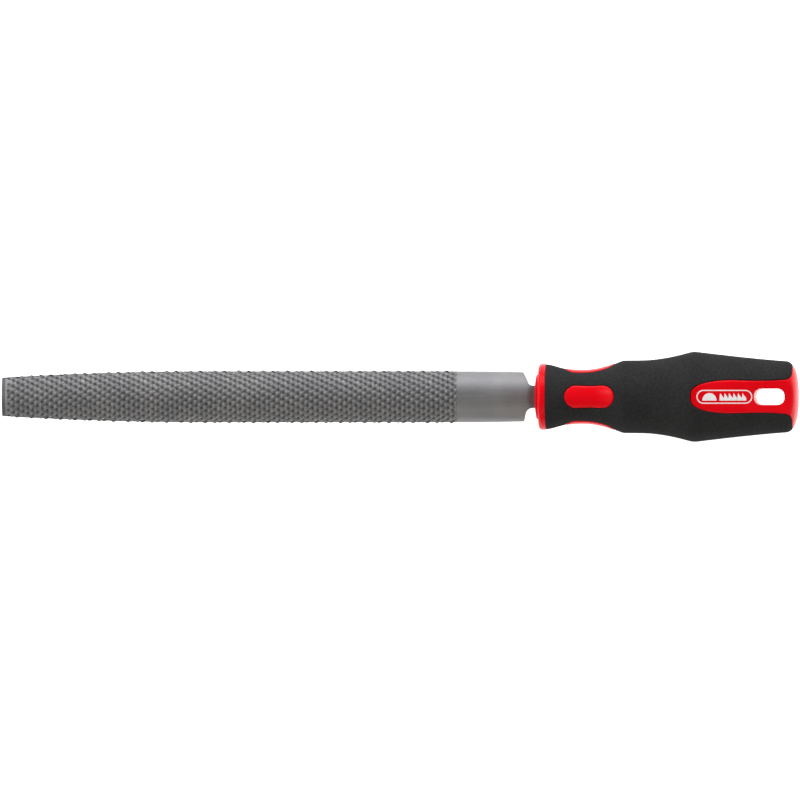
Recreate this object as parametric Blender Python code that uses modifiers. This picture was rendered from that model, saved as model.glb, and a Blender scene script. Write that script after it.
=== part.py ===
"""Half-round rasp, 200 mm long, with a two-component push-on handle.

Blender 4.5, metres, +Z up. Every piece is drawn in the tool's own frame: X runs along the tool's
axis from the blade's tip to the handle's end, Y across the blade, Z towards its round side. The
empty "tool_axis" carries them all. It puts the middle of the tool's length over the origin and the
handle's lowest point on the plane Z = 0, with the blade's flat side down.
"""

import math

import bmesh
import bpy

MM = 0.001

# Clearance between separate pieces, and how far a cutter reaches past what it cuts.
GAP = 0.3 * MM
REACH = 5 * MM

# Blade: a segment of one circle on a thin edge land, bellied towards the tip.
BLADE_LENGTH = 200.1 * MM
BLADE_HALF_WIDTH = 9.75 * MM
TIP_HALF_WIDTH = 7.35 * MM
HEEL_HALF_WIDTH = 9.45 * MM
BELLY_END = 80 * MM
HEEL_START = 174.4 * MM
ROUND_RADIUS = 11.7 * MM
EDGE_LAND = 0.8 * MM
FLAT_DROP = 2.6 * MM
ARC_SEGMENTS = 14
BELLY_STATIONS = 10

# Shoulders and tang. The bar runs on past the shoulders, thinning, to the tang's neck. Each shoulder,
# the one towards +Y first, has its slant's run and rise and its fillet.
SHOULDERS = {
    1: (1.2 * MM, 2.9 * MM, 2.1 * MM),
    -1: (0.5 * MM, 2.1 * MM, 2.9 * MM),
}
NECK = 203.5 * MM
NECK_THINNING = 0.82
TANG_HALF_WIDTH = 4.3 * MM
TANG_END_HALF_WIDTH = 1.9 * MM
TANG_HALF_THICKNESS = 2.1 * MM
TANG_END_HALF_THICKNESS = 1.2 * MM
TANG_END = 252 * MM
TANG_ROOT = 194 * MM

# Handle, from its front bush to its domed end, in lengths along the tool's axis.
HANDLE_START = 204.1 * MM
FLANGE_START = 205.8 * MM
GRIP_START = 208.6 * MM
GRIP_END = 302.9 * MM
DOME_START = 299.7 * MM
TOTAL_LENGTH = 305.3 * MM
FLANGE_RADIUS = 12.66 * MM
FLANGE_FILLET = 1.4 * MM
FLANGE_OVERLAP = 1.2 * MM
DOME_RADIUS = 13.71 * MM
DOME_POWER = 2.5
GRIP_RADIUS = 17.22 * MM
GRIP_WALL = 2.2 * MM
AXIS_HEIGHT = 17.094 * MM

# The grip's outline as (place, radius, slope): flared front, waist, step, fullest ring, taper.
GRIP_OUTLINE = (
    (GRIP_START, 12.44 * MM, -0.05),
    (214.0 * MM, 11.20 * MM, -0.28),
    (223.1 * MM, 10.25 * MM, 0.0),
    (237.6 * MM, 13.68 * MM, 0.38),
    (239.0 * MM, 13.88 * MM, 0.01),
    (247.0 * MM, 14.00 * MM, 0.05),
    (263.0 * MM, 16.85 * MM, 0.28),
    (265.4 * MM, GRIP_RADIUS, 0.0),
    (268.0 * MM, 16.98 * MM, -0.12),
    (DOME_START, DOME_RADIUS, -0.075),
)
OUTLINE_STEPS = 3
TURN_STEPS = 40

# Front bush, a stepped disc that guides the tang.
BUSH_RADIUS = 8.6 * MM
BUSH_END = 211.4 * MM
BUSH_CROWN = 0.85 * MM
BUSH_BEVEL = 0.5 * MM

# Four thumb pads round the waist.
PAD_CENTRE = 225.5 * MM
PAD_LENGTH = 19.2 * MM
PAD_WIDTH = 8.9 * MM
PAD_PROUD = 0.25 * MM

# The hard core's tongue, on the handle's two broad sides, and the hanging hole through it. The tongue
# narrows to a slight waist, spreads again, and turns outwards at its flare.
TONGUE_START = 264.4 * MM
TONGUE_NOSE = 16 * MM
TONGUE_NOSE_BLUNTNESS = 3.1
TONGUE_HALF_WIDTH = 6.55 * MM
TONGUE_WAIST = 291 * MM
TONGUE_NARROWING = 0.2 * MM
TONGUE_SPREAD = 0.5 * MM
TONGUE_FLARE_START = 300.7 * MM
TONGUE_FLARE = 2.4 * MM
TONGUE_FLAT_HEIGHT = 16.75 * MM
TONGUE_FLAT_SLOPE = -0.137
HOLE_CENTRE = 294.4 * MM
HOLE_LENGTH = 11.6 * MM
HOLE_WIDTH = 6.2 * MM
HOLE_CORNER = 2.7 * MM


def clear_scene():
    for obj in list(bpy.data.objects):
        bpy.data.objects.remove(obj)


def collection(name):
    made = bpy.data.collections.new(name)
    bpy.context.scene.collection.children.link(made)
    return made


def tool_axis():
    """The empty that lays the tool down."""
    axis = bpy.data.objects.new("tool_axis", None)
    bpy.context.scene.collection.objects.link(axis)
    axis.location = (-TOTAL_LENGTH / 2, 0, AXIS_HEIGHT)
    return axis


def place(obj, group):
    """Files the object in its collection and hangs it on the tool's axis."""
    group.objects.link(obj)
    obj.parent = bpy.data.objects["tool_axis"]
    if group is HELPERS:
        obj.hide_render = True
        obj.display_type = "WIRE"
    return obj


def finish(obj, colour, roughness, metallic=0.0):
    """Gives a piece its material."""
    material = bpy.data.materials.new(obj.name + "_material")
    material.use_nodes = True
    shader = material.node_tree.nodes["Principled BSDF"]
    shader.inputs["Base Color"].default_value = (*colour, 1)
    shader.inputs["Roughness"].default_value = roughness
    shader.inputs["Metallic"].default_value = metallic
    obj.data.materials.clear()
    obj.data.materials.append(material)
    return obj


def boolean(obj, operation, *others):
    for other in others:
        modifier = obj.modifiers.new(other.name, "BOOLEAN")
        modifier.operation = operation
        modifier.object = other
    return obj


def turned(name, profile, group):
    """A solid turned about the tool's axis from a profile of (place, radius) that starts and ends on it."""
    mesh = bpy.data.meshes.new(name)
    points = [(x, 0, radius) for x, radius in reversed(profile)]
    mesh.from_pydata(points, [(i, i + 1) for i in range(len(points) - 1)], [])
    obj = place(bpy.data.objects.new(name, mesh), group)
    screw = obj.modifiers.new("turn", "SCREW")
    screw.axis = "X"
    screw.steps = screw.render_steps = TURN_STEPS
    screw.use_merge_vertices = True
    screw.merge_threshold = 0.00001
    screw.use_smooth_shade = True
    return obj


def prism(name, outline, half_depth, group, across="Z"):
    """An outline in the XY plane given depth along Z, or one in the XZ plane given depth along Y."""
    curve = bpy.data.curves.new(name, "CURVE")
    curve.dimensions = "2D"
    curve.fill_mode = "BOTH"
    curve.extrude = half_depth
    spline = curve.splines.new("POLY")
    spline.points.add(len(outline) - 1)
    for point, (u, v) in zip(spline.points, outline):
        point.co = (u, v, 0, 1)
    spline.use_cyclic_u = True
    drawn = place(bpy.data.objects.new(name, curve), group)
    if across == "Y":
        drawn.rotation_euler.x = math.pi / 2
    bpy.context.view_layer.update()
    graph = bpy.context.evaluated_depsgraph_get()
    mesh = bpy.data.meshes.new_from_object(drawn.evaluated_get(graph))
    weld(mesh)
    solid = bpy.data.objects.new(name, mesh)
    solid.rotation_euler = drawn.rotation_euler
    bpy.data.objects.remove(drawn)
    solid.name = name
    return place(solid, group)


def weld(mesh):
    """Joins the caps of a curve's mesh to its sides."""
    work = bmesh.new()
    work.from_mesh(mesh)
    bmesh.ops.remove_doubles(work, verts=work.verts, dist=0.000001)
    bmesh.ops.recalc_face_normals(work, faces=work.faces)
    work.to_mesh(mesh)
    work.free()


def lofted(name, rings, group):
    """A closed solid through sections that all have the same number of points."""
    work = bmesh.new()
    rings = [[work.verts.new(point) for point in ring] for ring in rings]
    count = len(rings[0])
    for ring, following in zip(rings, rings[1:]):
        for i in range(count):
            j = (i + 1) % count
            work.faces.new((ring[i], ring[j], following[j], following[i]))
    work.faces.new(rings[0])
    work.faces.new(rings[-1])
    bmesh.ops.recalc_face_normals(work, faces=work.faces)
    mesh = bpy.data.meshes.new(name)
    work.to_mesh(mesh)
    work.free()
    return place(bpy.data.objects.new(name, mesh), group)


def arc(centre, radii, first, last, steps):
    """Points along an arc of a circle or an ellipse between two angles in degrees."""
    angles = [math.radians(first + (last - first) * i / steps) for i in range(steps + 1)]
    return [(centre[0] + radii[0] * math.cos(a), centre[1] + radii[1] * math.sin(a)) for a in angles]


def rounded_box(centre, length, width, corner, steps=6):
    """Outline of a rectangle with round corners; a corner of half the width gives round ends."""
    x, y = length / 2 - corner, width / 2 - corner
    points = []
    for sign_x, sign_y, first in ((1, 1, 0), (-1, 1, 90), (-1, -1, 180), (1, -1, 270)):
        points += arc((centre + sign_x * x, sign_y * y), (corner, corner), first, first + 90, steps)
    return [p for i, p in enumerate(points) if math.dist(p, points[i - 1]) > 0.00001]


def blade_half_width(x):
    if x < BELLY_END:
        return BLADE_HALF_WIDTH - (BLADE_HALF_WIDTH - TIP_HALF_WIDTH) * (1 - x / BELLY_END) ** 2
    share = max(0.0, (x - HEEL_START) / (BLADE_LENGTH - HEEL_START))
    return BLADE_HALF_WIDTH - (BLADE_HALF_WIDTH - HEEL_HALF_WIDTH) * share**2


def blade_section(x):
    """The closed half-round section at one place along the blade."""
    half = blade_half_width(min(x, BLADE_LENGTH))
    edge = math.asin(half / ROUND_RADIUS)
    centre = EDGE_LAND - FLAT_DROP - ROUND_RADIUS * math.cos(edge)
    section = [(half, -FLAT_DROP)]
    for i in range(ARC_SEGMENTS + 1):
        angle = edge * (1 - 2 * i / ARC_SEGMENTS)
        section.append((ROUND_RADIUS * math.sin(angle), centre + ROUND_RADIUS * math.cos(angle)))
    section.append((-half, -FLAT_DROP))
    thinning = NECK_THINNING if x > BLADE_LENGTH else 1.0
    return [(x, y, z * thinning) for y, z in section]


def blade_body(group):
    """The half-round bar, lofted through its sections from the tip to the tang's neck."""
    stations = [BELLY_END * i / BELLY_STATIONS for i in range(BELLY_STATIONS + 1)]
    stations += [HEEL_START, (HEEL_START + BLADE_LENGTH) / 2, BLADE_LENGTH, NECK]
    return lofted("rasp_blade", [blade_section(x) for x in stations], group)


def shoulder_cut(side):
    """Cuts one side of the bar from its slanted shoulder to the tang's neck."""
    slant_run, slant_rise, radius = SHOULDERS[side]
    far = HEEL_HALF_WIDTH + REACH
    fillet = arc((NECK, TANG_HALF_WIDTH + radius), (radius, radius), 180, 270, 6)
    outline = [
        (BLADE_LENGTH, far),
        (BLADE_LENGTH, HEEL_HALF_WIDTH),
        (BLADE_LENGTH + slant_run, HEEL_HALF_WIDTH - slant_rise),
        *fillet,
        (NECK + REACH, TANG_HALF_WIDTH),
        (NECK + REACH, far),
    ]
    name = "shoulder_left" if side > 0 else "shoulder_right"
    return prism(name, [(x, side * y) for x, y in outline], REACH, HELPERS)


def tang(name, grow=0.0):
    """The tapered tang, or the room for it if it is grown."""
    half, end_half = TANG_HALF_WIDTH + grow, TANG_END_HALF_WIDTH + grow
    thick, end_thick = TANG_HALF_THICKNESS + grow, TANG_END_HALF_THICKNESS + grow
    end = TANG_END + 5 * grow
    sections = ((TANG_ROOT, half, thick), (NECK, half, thick), (end, end_half, end_thick))
    rings = [[(x, y, z), (x, -y, z), (x, -y, -z), (x, y, -z)] for x, y, z in sections]
    return lofted(name, rings, HELPERS)


def grip_outline(offset=0.0, last=None):
    """Points (place, radius) along the grip's outline, every radius changed by the offset."""
    points = []
    for (x0, r0, m0), (x1, r1, m1) in zip(GRIP_OUTLINE, GRIP_OUTLINE[1:]):
        run = x1 - x0
        for i in range(OUTLINE_STEPS):
            t = i / OUTLINE_STEPS
            radius = (2 * t**3 - 3 * t**2 + 1) * r0 + (3 * t**2 - 2 * t**3) * r1
            radius += ((t**3 - 2 * t**2 + t) * m0 + (t**3 - t**2) * m1) * run
            points.append((x0 + t * run, radius + offset))
    return points


def dome(offset=0.0, steps=6):
    """The handle's domed end, from its rim to the axis."""
    depth = TOTAL_LENGTH - DOME_START
    points = []
    for i in range(steps + 1):
        angle = math.pi / 2 * i / steps
        along = math.sin(angle) ** (2 / DOME_POWER)
        out = max(0.0, math.cos(angle)) ** (2 / DOME_POWER)
        points.append((DOME_START + depth * along, max(0.0, (DOME_RADIUS + offset) * out)))
    return points[:-1] + [(TOTAL_LENGTH, 0.0)]


def hull_of_handle(name, proud=0.0):
    """The handle's whole outer shape behind the flange, as one turned solid."""
    return turned(name, [(GRIP_START, 0.0), *grip_outline(proud), *dome(proud)], HELPERS)


def under_grip(name, group, offset):
    """The hard core's turned body, under the soft grip. It starts inside the flange."""
    waist = grip_outline(offset - GRIP_WALL)
    front = GRIP_START - FLANGE_OVERLAP
    ends = [(GRIP_END, waist[-1][1]), (GRIP_END, 0.0)]
    return turned(name, [(front, 0.0), (front, waist[0][1]), *waist, *ends], group)


def tongue_side(first, half):
    """The tongue's long edge from the end of its nose to its flare."""
    before = [first + (TONGUE_WAIST - first) * i / 4 for i in range(1, 5)]
    after = [TONGUE_WAIST + (TONGUE_FLARE_START - TONGUE_WAIST) * i / 5 for i in range(1, 6)]
    points = []
    for x in before:
        share = (TONGUE_WAIST - x) / (TONGUE_WAIST - first)
        points.append((x, half - TONGUE_NARROWING * (1 - share**2)))
    for x in after:
        share = (x - TONGUE_WAIST) / (TONGUE_FLARE_START - TONGUE_WAIST)
        points.append((x, half - TONGUE_NARROWING + TONGUE_SPREAD * share**2))
    return points


def tongue_outline(grow=0.0):
    """Plan of everything red at the handle's end: the tongue, its flare and the end cap."""
    half = TONGUE_HALF_WIDTH + grow
    nose_end = TONGUE_START + TONGUE_NOSE
    nose = []
    for i in range(13):
        angle = math.pi / 2 * i / 12
        out = math.sin(angle) ** (2 / TONGUE_NOSE_BLUNTNESS)
        nose.append((nose_end - (TONGUE_NOSE + grow) * math.cos(angle), half * out))
    side = tongue_side(nose_end, half)
    radii = (GRIP_END - grow - TONGUE_FLARE_START, TONGUE_FLARE)
    corner = arc((TONGUE_FLARE_START, side[-1][1] + TONGUE_FLARE), radii, 270, 360, 6)
    far = [(GRIP_END - grow, 4 * REACH), (TOTAL_LENGTH + REACH, 4 * REACH)]
    upper = nose[1:] + side[:-1] + corner + far
    return [nose[0], *upper, *[(x, -y) for x, y in reversed(upper)]]


def tongue_flat(side):
    """Cuts the tongue's sloping flat on one broad side."""
    near, far = TONGUE_START - REACH, TOTAL_LENGTH + REACH
    heights = [TONGUE_FLAT_HEIGHT + TONGUE_FLAT_SLOPE * (x - TONGUE_START) for x in (near, far)]
    top = GRIP_RADIUS + REACH
    outline = [(near, heights[0]), (far, heights[1]), (far, top), (near, top)]
    name = "tongue_flat_top" if side > 0 else "tongue_flat_bottom"
    return prism(name, [(x, side * z) for x, z in outline], 4 * REACH, HELPERS, "Y")


def thumb_pads(name, grow=0.0):
    """Two bars crossing at the waist: their ends are the four thumb pads, or the windows if grown."""
    width = PAD_WIDTH + 2 * grow
    outline = rounded_box(PAD_CENTRE, PAD_LENGTH + 2 * grow, width, width / 2 - 0.05 * MM)
    return [
        prism(f"{name}_{across}", outline, GRIP_RADIUS + REACH, HELPERS, across) for across in "ZY"
    ]


def handle_core(group):
    """The red hard core: flange, waist with its pads, tongue, domed end, tang pocket and hole."""
    core = under_grip("handle_core", group, 0.0)
    corner = (FLANGE_START + FLANGE_FILLET, FLANGE_RADIUS - FLANGE_FILLET)
    fillet = arc(corner, (FLANGE_FILLET, FLANGE_FILLET), 180, 90, 4)
    rim = [(FLANGE_START, 0.0), *fillet, (GRIP_START - GAP, FLANGE_RADIUS), (GRIP_START - GAP, 0.0)]
    flange = turned("flange", rim, HELPERS)
    tongue = prism("tongue", tongue_outline(), 4 * REACH, HELPERS)
    boolean(tongue, "INTERSECT", hull_of_handle("tongue_envelope"))
    boolean(tongue, "DIFFERENCE", tongue_flat(1), tongue_flat(-1))
    pads = thumb_pads("pad")
    envelope = hull_of_handle("pad_envelope", PAD_PROUD)
    for pad in pads:
        boolean(pad, "INTERSECT", envelope)
    boolean(core, "UNION", flange, tongue, *pads)
    hole = rounded_box(HOLE_CENTRE, HOLE_LENGTH, HOLE_WIDTH, HOLE_CORNER)
    seat = [(HANDLE_START - REACH, 0.0), (HANDLE_START - REACH, BUSH_RADIUS + GAP)]
    seat += [(BUSH_END + GAP, BUSH_RADIUS + GAP), (BUSH_END + GAP, 0.0)]
    return boolean(
        core,
        "DIFFERENCE",
        prism("hanging_hole", hole, 4 * REACH, HELPERS),
        turned("bush_seat", seat, HELPERS),
        tang("tang_pocket", GAP),
    )


def soft_grip(group):
    """The black overmould: one sleeve with four windows and two slots for the tongue."""
    grip = turned("soft_grip", [(GRIP_START, 0.0), *grip_outline(), *dome()], group)
    return boolean(
        grip,
        "DIFFERENCE",
        under_grip("core_room", HELPERS, GAP),
        prism("tongue_room", tongue_outline(GAP), 4 * REACH, HELPERS),
        *thumb_pads("window", GAP),
    )


def tang_bush(group):
    """The stepped bush in the handle's mouth, with the tang's slot through it."""
    face = [
        (HANDLE_START + BUSH_CROWN * (i / 4) ** 2, (BUSH_RADIUS - BUSH_BEVEL) * i / 4)
        for i in range(5)
    ]
    shoulder = HANDLE_START + BUSH_CROWN + BUSH_BEVEL
    rim = [(shoulder, BUSH_RADIUS), (BUSH_END, BUSH_RADIUS), (BUSH_END, 0.0)]
    bush = turned("tang_bush", face + rim, group)
    return boolean(bush, "DIFFERENCE", tang("tang_slot", GAP))


def rasp_blade(group):
    """Blade and tang, one forging."""
    blade = blade_body(group)
    boolean(blade, "DIFFERENCE", shoulder_cut(1), shoulder_cut(-1))
    return boolean(blade, "UNION", tang("tang"))


clear_scene()
RASP = collection("half_round_rasp")
HELPERS = collection("cutters")
tool_axis()
finish(rasp_blade(RASP), (0.22, 0.22, 0.23), 0.45, 1.0)
finish(handle_core(RASP), (0.75, 0.01, 0.015), 0.3)
finish(tang_bush(RASP), (0.6, 0.01, 0.015), 0.35)
finish(soft_grip(RASP), (0.02, 0.02, 0.02), 0.7)
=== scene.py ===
"""Looks for the half-round rasp: toothed steel blade, red hard plastic core, black soft grip.

Shapes are worked out in the tool's own frame, in millimetres: x runs along the tool's axis from the
blade's tip, y across the blade and z towards its round side. to_world() puts them in the frame.
"""

import math

import bmesh
import bpy
import numpy as np
from mathutils import Matrix, Vector, kdtree
from mathutils.geometry import delaunay_2d_cdt


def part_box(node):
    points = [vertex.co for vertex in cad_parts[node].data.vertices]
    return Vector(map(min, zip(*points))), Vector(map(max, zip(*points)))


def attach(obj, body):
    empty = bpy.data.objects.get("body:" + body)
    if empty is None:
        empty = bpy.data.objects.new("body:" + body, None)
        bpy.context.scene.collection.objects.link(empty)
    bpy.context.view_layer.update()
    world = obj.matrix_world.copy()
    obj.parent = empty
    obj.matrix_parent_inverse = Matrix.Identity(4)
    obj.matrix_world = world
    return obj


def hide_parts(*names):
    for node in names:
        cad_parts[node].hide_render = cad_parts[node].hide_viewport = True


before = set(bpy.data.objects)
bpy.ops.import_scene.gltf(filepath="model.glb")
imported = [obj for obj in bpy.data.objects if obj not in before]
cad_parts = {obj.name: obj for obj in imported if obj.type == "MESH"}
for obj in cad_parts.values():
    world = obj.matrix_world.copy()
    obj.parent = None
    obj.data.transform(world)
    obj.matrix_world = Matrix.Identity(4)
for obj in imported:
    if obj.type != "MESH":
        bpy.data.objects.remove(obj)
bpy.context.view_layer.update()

MM = 0.001
MERGE_METRES = 0.000001

# Blade.
BLADE_LENGTH = 200.1
BLADE_HALF_WIDTH = 9.75
TIP_HALF_WIDTH = 7.35
TIP_CORNER = 0.25
TIP_SLOPE_LENGTH = 2.2
TIP_SLOPE_DROP = 0.5
HEEL_HALF_WIDTH = 9.45
BELLY_END = 80.0
ROUND_RADIUS = 11.7
EDGE_LAND = 0.8
FLAT_DROP = 2.6
EDGE_BEVEL_WIDTH = 0.9
EDGE_BEVEL_DROP = 0.3

# Shoulders and tang. Each shoulder, the one towards +y first, has its slant's run and rise, its
# fillet, and the radius of its outer corner.
SHOULDERS = {1: (1.2, 2.9, 2.1, 0.8), -1: (0.5, 2.1, 2.9, 0.3)}
SHOULDER_HEIGHT = 6.0
SHOULDER_BLEND = 0.6
NECK = 203.5
TANG_HALF_WIDTH = 4.3
TANG_END_HALF_WIDTH = 1.9
TANG_HALF_THICKNESS = 2.1
TANG_END_HALF_THICKNESS = 1.2
TANG_END = 252.0

# Tooth rows: columns across the blade, each shifted towards -y from the one before. A tooth is an
# oval lump, steeper towards the tip, with a round pit in front of it.
TEETH_START = 3.8
TEETH_END = 174.3
COLUMN_PITCH = 1.851
TOOTH_PITCH = 2.5
COLUMN_SHIFT = 0.98
TOOTH_HALF_WIDTH = 0.84
TOOTH_BACK = 0.84
TOOTH_FACE = 0.68
TOOTH_RISE = 0.48
TOOTH_FULLNESS = 0.8
PIT_PLACE = (-1.12, -0.15)
PIT_RADIUS = 0.62
PIT_SINK = 0.3
TOOTH_SCATTER = 0.035
SCATTER_COLUMNS = 128
SCATTER_ROWS = 64
ROUND_SEED = 3
FLAT_SEED = 4

# Points over a cut face. The rings of points round a tooth and round its pit are each a share of
# the full reach and a number of points.
TOOTH_RINGS = ((0.45, 7), (0.78, 10), (1.0, 12))
PIT_RINGS = ((0.6, 6), (1.02, 8))
RING_REACH = 1.5
TOOTH_ROWS = range(-10, 90)
FACE_REACH = 11
TIP_ROWS = (0.4, 0.9, 1.4, 1.9)
TIP_ROW_SPACING = 0.4
LAST_ROWS = (TEETH_END - 0.03, TEETH_END + 0.03)
LAST_ROW_SPACING = 0.25
EDGE_MARGIN = 0.12
TIP_MARGIN = 0.15
EDGE_STEP = 0.31
HEEL_SPACING = 0.9
HEEL_REACH = 10
HEEL_GAP = 0.6
HEEL_MARGIN = 0.3
SHOULDER_LEAD = 1.5

# Painted shade along the toothed edges and over the tip, given to the steel as if it were depths of
# relief.
EDGE_PAINTED_SHADE = -0.5
EDGE_PAINTED_SHADE_WIDTH = 0.45
TIP_PAINTED_SHADE = -0.12
TIP_PAINTED_SHADE_LENGTH = 1.2

# Handle. It starts with its bush, then come the core's flange, the grip, and the core's dome.
HANDLE_START = 204.1
FLANGE_START = 205.8
GRIP_START = 208.6
GRIP_END = 302.9
DOME_START = 299.7
TOTAL_LENGTH = 305.3
FLANGE_RADIUS = 12.66
FLANGE_FILLET = 1.4
DOME_RADIUS = 13.71
DOME_POWER = 2.5
DOME_TRAVEL = 16.0
RIDGE_RADIUS = 17.22
GRIP_WALL = 2.2
# Stations of the grip's outline: x, radius, and the radius's slope.
GRIP_OUTLINE = (
    (GRIP_START, 12.44, -0.05),
    (214.0, 11.20, -0.28),
    (223.1, 10.25, 0.0),
    (237.6, 13.68, 0.38),
    (239.0, 13.88, 0.01),
    (247.0, 14.00, 0.05),
    (263.0, 16.85, 0.28),
    (265.4, RIDGE_RADIUS, 0.0),
    (268.0, 16.98, -0.12),
    (DOME_START, DOME_RADIUS, -0.075),
)

# The handle's skin is drawn unrolled on a sheet, as if its radius were SHEET_RADIUS all along.
SHEET_RADIUS = 14.0
QUARTER = SHEET_RADIUS * math.pi / 2

# Bush in the handle's mouth, and the mouth and the tang's bore in the core.
BUSH_RADIUS = 8.6
BUSH_CROWN = 0.8
BUSH_FILLET = 0.5
BUSH_END = 211.4
BUSH_GAP = 0.1
SLOT_GAP = 0.12
TANG_BORE_RADIUS = 5.2
TANG_BORE_END = TANG_END + 2
FLANGE_DOME = 0.25
MOUTH_BEVEL_RUN = 0.05
MOUTH_BEVEL_RISE = 0.25

# Thumb pads.
PAD_CENTRE = 225.5
PAD_LENGTH = 19.2
PAD_WIDTH = 8.9
PAD_PROUD = 0.12
PAD_SPACING = 0.7
PAD_REACH = 8

# Tongues and hanging hole.
TONGUE_START = 264.4
TONGUE_NOSE = 16.0
TONGUE_NOSE_BLUNTNESS = 3.1
TONGUE_HALF_WIDTH = 6.55
TONGUE_WAIST = 291.0
TONGUE_NARROWING = 0.2
TONGUE_SPREAD = 0.5
TONGUE_FLARE_START = 300.7
TONGUE_FLARE = 2.4
TONGUE_FLAT_HEIGHT = 16.75
TONGUE_FLAT_SLOPE = -0.137
TONGUE_EDGE_BLEND = 0.5
HOLE_CENTRE = 294.4
HOLE_LENGTH = 11.6
HOLE_WIDTH = 6.2
HOLE_CORNER = 2.7

# Print on the tongue.
MARK_START = 266.8
MARK_LENGTH = 21.2
MARK_WIDTH = 5.3
MARK_LINE = 0.42
MARK_SECTION = 5.4
MARK_HEIGHT = 2.9
MARK_SPACE = 1.1
MARK_TEETH = 6
MARK_TOOTH = 1.7
MARK_LEAN = 0.15
MARK_BAR = 0.9
MARK_SUNK = 0.06
MARK_PROUD = 0.03

# Edges and joins of the mouldings.
OVERLAP = 0.8
TAIL_OVERLAP = 1.0
CUTTER_REACH = 30.0
CUTTER_PAST = 3
SEAM = 0.04
GRIP_FILLET = 0.3
CORE_FILLET = 0.6
HOLE_FILLET = 0.45
HOLE_LEDGE = 0.08
RING_SHARES = [1 - math.cos(math.radians(angle)) for angle in (22.5, 45, 67.5, 90)]
EDGE_SPACING = 0.35
SHEET_SPACING = 0.8
ROW_SPACING = 0.87 * SHEET_SPACING
SHEET_MARGIN = 0.3 * SHEET_SPACING
GRID_MARGIN = 0.25
LEAST_COSINE = 0.05
POLE_RADIUS = 0.5
CLOSE = 0.0001

# View.
CAMERA_LENS = 1200.0
CAMERA_SENSOR = 36.0
VIEW_WIDTH = 305.9
VIEW_CENTRE_Y = -1.22

BLADE_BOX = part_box("rasp_blade")
BUSH_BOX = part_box("tang_bush")
ORIGIN = Vector((BLADE_BOX[0].x, 0, (BUSH_BOX[0].z + BUSH_BOX[1].z) / 2))


# ---------------------------------------------------------------- meshes


def to_world(points):
    """Points of the tool's frame, in millimetres, as points of the scene in metres."""
    return np.asarray(points, float) * MM + np.array(ORIGIN)


def piece(name, points, faces, smooth_angle=35, relief=None):
    """An object from points in the tool's frame. Points that no face uses are left out.
    relief is kept with the points for the material to read; the blade's also carries painted shade at
    its edges and tip.
    """
    used = sorted({i for face in faces for i in face})
    renumbered = {old: new for new, old in enumerate(used)}
    mesh = bpy.data.meshes.new(name)
    mesh.from_pydata(
        to_world(points)[used].tolist(), [], [[renumbered[i] for i in face] for face in faces]
    )
    if relief is not None:
        mesh.attributes.new("relief", "FLOAT", "POINT").data.foreach_set("value", relief[used])
    work = bmesh.new()
    work.from_mesh(mesh)
    bmesh.ops.remove_doubles(work, verts=work.verts, dist=MERGE_METRES)
    bmesh.ops.dissolve_degenerate(work, edges=work.edges, dist=MERGE_METRES / 10)
    bmesh.ops.recalc_face_normals(work, faces=work.faces)
    work.to_mesh(mesh)
    work.free()
    obj = bpy.data.objects.new(name, mesh)
    bpy.context.scene.collection.objects.link(obj)
    return shaded(obj, smooth_angle)


def shaded(obj, smooth_angle=35):
    """The object, smooth but for its edges of more than so many degrees."""
    obj.data.shade_smooth()
    obj.data.set_sharp_from_angle(angle=math.radians(smooth_angle))
    return obj


def applied(obj):
    """The object with its modifiers made part of its mesh."""
    graph = bpy.context.evaluated_depsgraph_get()
    mesh = bpy.data.meshes.new_from_object(obj.evaluated_get(graph))
    obj.modifiers.clear()
    obj.data = mesh
    return obj


def combined(obj, operation, *others):
    """The object cut or joined with others, which are used up."""
    for other in others:
        modifier = obj.modifiers.new("combine", "BOOLEAN")
        modifier.operation = operation
        modifier.object = other
    applied(obj)
    for other in others:
        bpy.data.objects.remove(other)
    return obj


def between(first, second, count):
    """Faces that join two closed rows of count points, given the numbers of the rows' first points."""
    following = [*range(1, count), 0]
    return [(first + i, first + j, second + j, second + i) for i, j in enumerate(following)]


def turned(name, profile, steps=96):
    """A solid of revolution about the tool's axis, from (x, radius) points that start and end on it."""
    points = []
    for x, radius in profile:
        for k in range(steps):
            angle = 2 * math.pi * k / steps
            points.append((x, radius * math.sin(angle), radius * math.cos(angle)))
    faces = []
    for i in range(len(profile) - 1):
        faces += between(i * steps, (i + 1) * steps, steps)
    return piece(name, points, faces)


def triangulated(outline, inner):
    """Triangles that fill a closed outline, using inner points, which are numbered after its own."""
    points = [Vector(p) for p in [*outline, *inner]]
    return delaunay_2d_cdt(points, [], [list(range(len(outline)))], 1, CLOSE)[2]


def arc(centre, radii, first, last, steps):
    """Points along an arc of a circle or an ellipse between two angles in degrees."""
    angles = np.radians(np.linspace(first, last, steps + 1))
    return [(centre[0] + radii[0] * math.cos(a), centre[1] + radii[1] * math.sin(a)) for a in angles]


def spaced(start, end, spacing):
    """Points on a straight line from start up to, but without, its end."""
    count = max(1, round(math.dist(start, end) / spacing))
    return [tuple(np.array(start) + (np.array(end) - start) * i / count) for i in range(count)]


def seam(start, end, before=0.0, after=0.0):
    """Points along a seam up to, but without, its end, with the rings of the fillet at either end."""
    start, end = np.array(start, float), np.array(end, float)
    along = (end - start) / math.dist(start, end)
    first = [start + along * before * share for share in RING_SHARES] if before else [start]
    last = [end - along * after * share for share in RING_SHARES[::-1]] if after else [end]
    middle = spaced(first[-1], last[0], SHEET_SPACING)
    return [*([start] if before else []), *first[:-1], *middle, *(last if after else [])]


def resampled(path, spacing):
    """The path with its points evenly spaced."""
    path = np.array(path, float)
    along = np.concatenate([[0], np.cumsum(np.hypot(*np.diff(path, axis=0).T))])
    places = np.linspace(0, along[-1], max(3, round(along[-1] / spacing)) + 1)
    return np.column_stack([np.interp(places, along, path[:, k]) for k in (0, 1)])


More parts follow.
